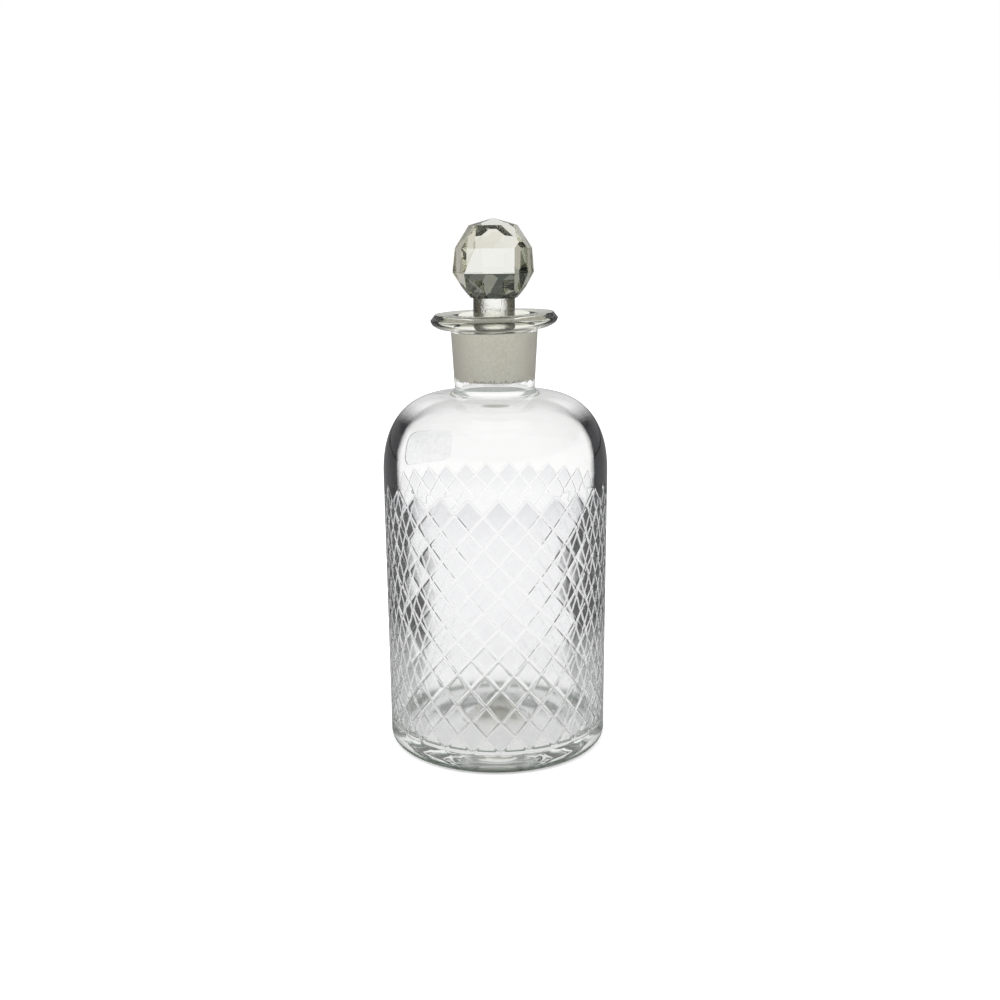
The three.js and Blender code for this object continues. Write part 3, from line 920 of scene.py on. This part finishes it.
def far_cut(tree, wobble):
    """Painted lines of the far side's lattice near the edges of the near one, from 0 on a line to 1 between.

    Two slants of lines wind up the wall: the angle round the axis, counted in columns, plus or minus the
    height, counted in rows, is a whole number on each line. A noise makes them stray a little.
    """
    split = tree.nodes.new("ShaderNodeSeparateXYZ")
    tree.links.new(own_place(tree), split.inputs["Vector"])
    turned = combine(tree, "ARCTAN2", split.outputs["X"], split.outputs["Y"])
    across = combine(tree, "MULTIPLY", turned, FAR_COLUMNS / (2 * math.pi))
    across = combine(tree, "ADD", across, wavering(tree, wobble, FAR_WOBBLE))
    climb = combine(tree, "MULTIPLY", split.outputs["Z"], DIAMOND_ROWS / ((CUT_TOP - CUT_BOTTOM) * MM))
    slants = [combine(tree, operation, across, climb) for operation in ("ADD", "SUBTRACT")]
    near = combine(tree, "MINIMUM", *(combine(tree, "PINGPONG", slant, 0.5) for slant in slants))
    return eased(tree, near, FAR_LINE / 2, FAR_LINE)


def shards(tree, scale):
    """A crisp random value for each cell of a scatter on the piece's own coordinates, scaled per metre."""
    cells = add(tree, "ShaderNodeTexVoronoi", Scale=scale)
    tree.links.new(own_place(tree), cells.inputs["Vector"])
    return cells.outputs["Color"]


def bottle_glass():
    """Clear blown glass with painted shade on edges and lands, satin white grooves, and frost where it was
    ground.
    """
    material, tree, shader = glass_material("clear_blown_glass", GLASS_INDEX)
    shader.inputs["Specular IOR Level"].default_value = 0.0
    groove, land, land_shade, tone = (point_value(tree, name) for name in ("groove", "land", "land_shade", "tone"))
    rim, heel, pontil = (point_value(tree, name) for name in ("rim", "heel", "pontil"))
    ground, side = (point_value(tree, name) for name in ("ground", "side"))
    streaks = object_noise(tree, BOTTLE_STREAKS, STREAK_DETAIL)
    # Painted grey shade on the lands, with the glass's faint lavender tint
    lands = blend(tree, land_shade, blend(tree, streaks, *POLISHED), blend(tree, streaks, *LAND_SHADE_AND_TINT))
    clear = blend(tree, groove, lands, WHITE)
    # The rim takes the olive of thick glass, the heel painted shade over its green, the kick its pontil mark
    for value, color in ((rim, RIM_TINT), (heel, HEEL_GREEN_AND_SHADE), (pontil, PONTIL_TINT)):
        clear = blend(tree, value, clear, color)

    # Painted shade: lands and walls darken where they turn away from the eye
    uneven = combine(tree, "ADD", wavering(tree, tone, TONE_UNEVEN), wavering(tree, streaks, LAND_UNEVEN))
    # Painted light lines of the far side's cutting break the painted shade of the lands
    broken = between(tree, far_cut(tree, streaks), FAR_LINE_LIGHT, FAR_LAND_DARK)
    dark_lands = combine(tree, "MULTIPLY", grazing(tree, uneven, LAND_EDGE), broken)
    dark_lands = combine(tree, "MULTIPLY", dark_lands, land)
    dark_wall = grazing(tree, wavering(tree, streaks, WALL_UNEVEN), WALL_EDGE)
    dark_wall = combine(tree, "MULTIPLY", dark_wall, between(tree, land, 1.0, 0.0))
    dark = combine(tree, "MULTIPLY", combine(tree, "MAXIMUM", dark_lands, dark_wall), side)
    walls = blend(tree, dark, clear, PAINTED_EDGE_SHADE)

    sanded = ramp(tree, object_noise(tree, GRIT_SCALE, GRIT_DETAIL), SANDED_STOPS)
    # Painted shade on the frosted seat where it turns away from the eye
    turned = grazing(tree, wavering(tree, streaks, FROST_UNEVEN), FROST_EDGE)
    frosted = blend(tree, turned, sanded, SANDED_EDGE_SHADE)
    tree.links.new(blend(tree, ground, walls, frosted), shader.inputs["Base Color"])
    satin = combine(tree, "MAXIMUM", between(tree, groove, 0.0, GROOVE_ROUGHNESS),
                    between(tree, land, 0.0, LAND_ROUGHNESS))
    dull = combine(tree, "MAXIMUM", between(tree, ground, 0.0, GROUND_ROUGHNESS),
                   between(tree, pontil, 0.0, PONTIL_ROUGHNESS))
    tree.links.new(combine(tree, "MAXIMUM", satin, dull), shader.inputs["Roughness"])
    tree.links.new(between(tree, ground, 1.0, 0.0), shader.inputs["Transmission Weight"])
    tint(tree, BOTTLE_TINT, BOTTLE_TINT_DENSITY)
    return material


def stopper_glass():
    """Olive glass with painted shade on its edges and on each facet, a rough shank and a frosted plug."""
    material, tree, shader = glass_material("olive_cut_glass", GLASS_INDEX)
    shader.inputs["Specular IOR Level"].default_value = 0.0
    ground, rugged, shade = (point_value(tree, name) for name in ("ground", "rugged", "shade"))
    streaks = object_noise(tree, STOPPER_STREAKS, STREAK_DETAIL)
    # Painted shade on each facet, broken up by a scatter of cells
    broken = combine(tree, "MULTIPLY", shade, between(tree, shards(tree, SHARD_SCALE), *SHARD_SHARES))
    olive_shade = ramp(tree, broken, OLIVE_SHADE_STOPS)
    shaded = blend(tree, 1.0, blend(tree, streaks, *STOPPER_CLEAR), olive_shade, "MULTIPLY")
    # Painted shade on the edges, starting earlier on the rough shank and weaker on the facets
    uneven = combine(tree, "ADD", wavering(tree, streaks, STOPPER_UNEVEN),
                     between(tree, rugged, 0.0, SHANK_EARLIER))
    dark = combine(tree, "MULTIPLY", grazing(tree, uneven, STOPPER_EDGE),
                   between(tree, rugged, EDGE_ON_FACETS, 1.0))
    polished = blend(tree, dark, shaded, STOPPER_EDGE_SHADE)
    tree.links.new(blend(tree, ground, polished, PLUG_SANDED), shader.inputs["Base Color"])
    rough = combine(tree, "MAXIMUM", between(tree, ground, 0.0, GROUND_ROUGHNESS),
                    between(tree, rugged, 0.0, SHANK_ROUGHNESS))
    tree.links.new(rough, shader.inputs["Roughness"])
    tree.links.new(between(tree, ground, 1.0, PLUG_CLEARNESS), shader.inputs["Transmission Weight"])
    tint(tree, STOPPER_TINT, STOPPER_TINT_DENSITY)
    return material


def label_film():
    """Clear film with a faint milky cloudiness."""
    material, tree, shader = glass_material("clear_film", FILM_INDEX)
    milk = object_noise(tree, FILM_HAZE_SCALE, STREAK_DETAIL)
    tree.links.new(ramp(tree, milk, FILM_STOPS), shader.inputs["Base Color"])
    tree.links.new(between(tree, milk, *FILM_ROUGHNESS), shader.inputs["Roughness"])
    return material


# Studio

def grey(value):
    """A colour without hue."""
    return (value, value, value)


def studio_walls(tree, level, stops):
    """A brightness for each height of a direction, from stops that each give a height and a brightness."""
    return ramp(tree, level, [(position, grey(value)) for position, value in stops])


def make_world():
    """A white studio.

    Glass sees the white backdrop through itself, a dark ceiling with a lamp above it, and mirrors the dark
    room in front of the backdrop.
    """
    world = bpy.data.worlds.new("studio")
    bpy.context.scene.world = world
    world.use_nodes = True
    tree = world.node_tree
    place = tree.nodes.new("ShaderNodeTexCoord")
    split = tree.nodes.new("ShaderNodeSeparateXYZ")
    tree.links.new(place.outputs["Generated"], split.inputs["Vector"])
    height = tree.nodes.new("ShaderNodeMapRange")
    height.inputs["From Min"].default_value = -1.0
    tree.links.new(split.outputs["Z"], height.inputs["Value"])
    level = height.outputs["Result"]
    through = studio_walls(tree, level, THROUGH_STOPS)
    mirrored = studio_walls(tree, level, MIRRORED_STOPS)
    path = tree.nodes.new("ShaderNodeLightPath")
    on_glass = blend(tree, path.outputs["Is Glossy Ray"], WHITE, mirrored)
    in_glass = blend(tree, path.outputs["Is Transmission Ray"], on_glass, through)
    lit = blend(tree, path.outputs["Diffuse Depth"], in_glass, WHITE)
    background = tree.nodes["Background"]
    background.inputs["Strength"].default_value = 1.0
    tree.links.new(lit, background.inputs["Color"])


def level_plate(name, reach, height):
    """A flat square grid at one height that reaches equally far to all sides, in millimetres."""
    count = 9
    steps = np.linspace(-reach, reach, count)
    x, y = np.meshgrid(steps, steps)
    points = np.stack([x, y, np.full_like(x, height)], axis=-1).reshape(-1, 3)
    index = np.arange(count * count).reshape(count, count)
    a, b, c, d = index[:-1, :-1], index[:-1, 1:], index[1:, 1:], index[1:, :-1]
    faces = np.stack([a, b, c, a, c, d], axis=-1).reshape(-1, 3)
    return mesh_piece(name, points, faces, np.ones(len(faces), bool), {})


def make_floor():
    """A wide pale sweep: it takes light and shadow as paper does, and reads white to the camera."""
    floor = level_plate("floor", FLOOR_REACH, -FLOOR_DROP)
    material = bpy.data.materials.new("pale_paper")
    material.use_nodes = True
    tree = material.node_tree
    paper = tree.nodes["Principled BSDF"]
    paper.inputs["Roughness"].default_value = PAPER_ROUGHNESS
    paper.inputs["Specular IOR Level"].default_value = 0.0
    grain = object_noise(tree, PAPER_GRAIN, PAPER_GRAIN_DETAIL)
    paper_color = blend(tree, grain, grey(PAPER_SHADES[0]), grey(PAPER_SHADES[1]))
    path = tree.nodes.new("ShaderNodeLightPath")
    through, mirrored = path.outputs["Is Transmission Ray"], path.outputs["Is Glossy Ray"]
    dim = blend(tree, through, grey(FLOOR_MIRRORED), grey(FLOOR_THROUGH))
    color = blend(tree, combine(tree, "MAXIMUM", through, mirrored), paper_color, dim)
    tree.links.new(color, paper.inputs["Base Color"])
    paper.inputs["Emission Color"].default_value = (1, 1, 1, 1)
    to_camera = between(tree, path.outputs["Is Camera Ray"], 0.0, GLOW_TO_CAMERA)
    to_glass = between(tree, through, 0.0, GLOW_THROUGH_GLASS)
    tree.links.new(combine(tree, "MAXIMUM", to_camera, to_glass), paper.inputs["Emission Strength"])
    floor.data.materials.append(material)


def make_lamp(name, place, size, power):
    """A soft square lamp aimed at the middle of the carafe; place and size in metres."""
    lamp = bpy.data.lights.new(name, "AREA")
    lamp.shape = "RECTANGLE"
    lamp.size, lamp.size_y = size
    lamp.energy = power
    holder = bpy.data.objects.new(name, lamp)
    holder.visible_glossy = False
    holder.visible_transmission = False
    holder.location = place
    aim = np.array(LAMP_AIM) - np.array(place)
    from_above = math.atan2(math.hypot(aim[0], aim[1]), -aim[2])
    holder.rotation_euler = (from_above, 0, math.atan2(aim[1], aim[0]) - math.pi / 2)
    bpy.context.scene.collection.objects.link(holder)


def make_camera():
    """The photograph's view: set back, pitched down, rolled a little, with the axis just left of centre."""
    camera = bpy.data.cameras.new("camera")
    camera.sensor_width = SENSOR_WIDTH
    camera.lens = FOCAL_PIXELS / FRAME_PIXELS * SENSOR_WIDTH
    camera.shift_x = AXIS_OFFSET_PIXELS / FRAME_PIXELS
    holder = bpy.data.objects.new("camera", camera)
    holder.location = (0.0, -CAMERA_BACK * MM, CAMERA_HEIGHT * MM)
    pitch = Matrix.Rotation(math.radians(90 - CAMERA_PITCH), 3, "X")
    roll = Matrix.Rotation(-math.radians(CAMERA_ROLL), 3, "Z")
    holder.rotation_euler = (pitch @ roll).to_euler()
    bpy.context.scene.collection.objects.link(holder)
    bpy.context.scene.camera = holder


# Light crosses the thick heel, the root of the neck and the ball many times before it leaves the glass
cycles = bpy.context.scene.cycles
cycles.max_bounces = 32
cycles.diffuse_bounces = 16
cycles.glossy_bounces = 32
cycles.transmission_bounces = 32

make_camera()
make_world()
make_floor()
for lamp_setting in LAMPS:
    make_lamp(*lamp_setting)

bottle = make_bottle()
bottle.data.materials.append(bottle_glass())
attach(bottle, "vessel")
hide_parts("bottle")

stopper = make_stopper()
stopper.data.materials.append(stopper_glass())
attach(stopper, "stopper")
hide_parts("stopper")

label = make_label()
label.data.materials.append(label_film())
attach(label, "vessel")
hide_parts("blank_label")

bpy.context.scene.view_settings.view_transform = "Standard"
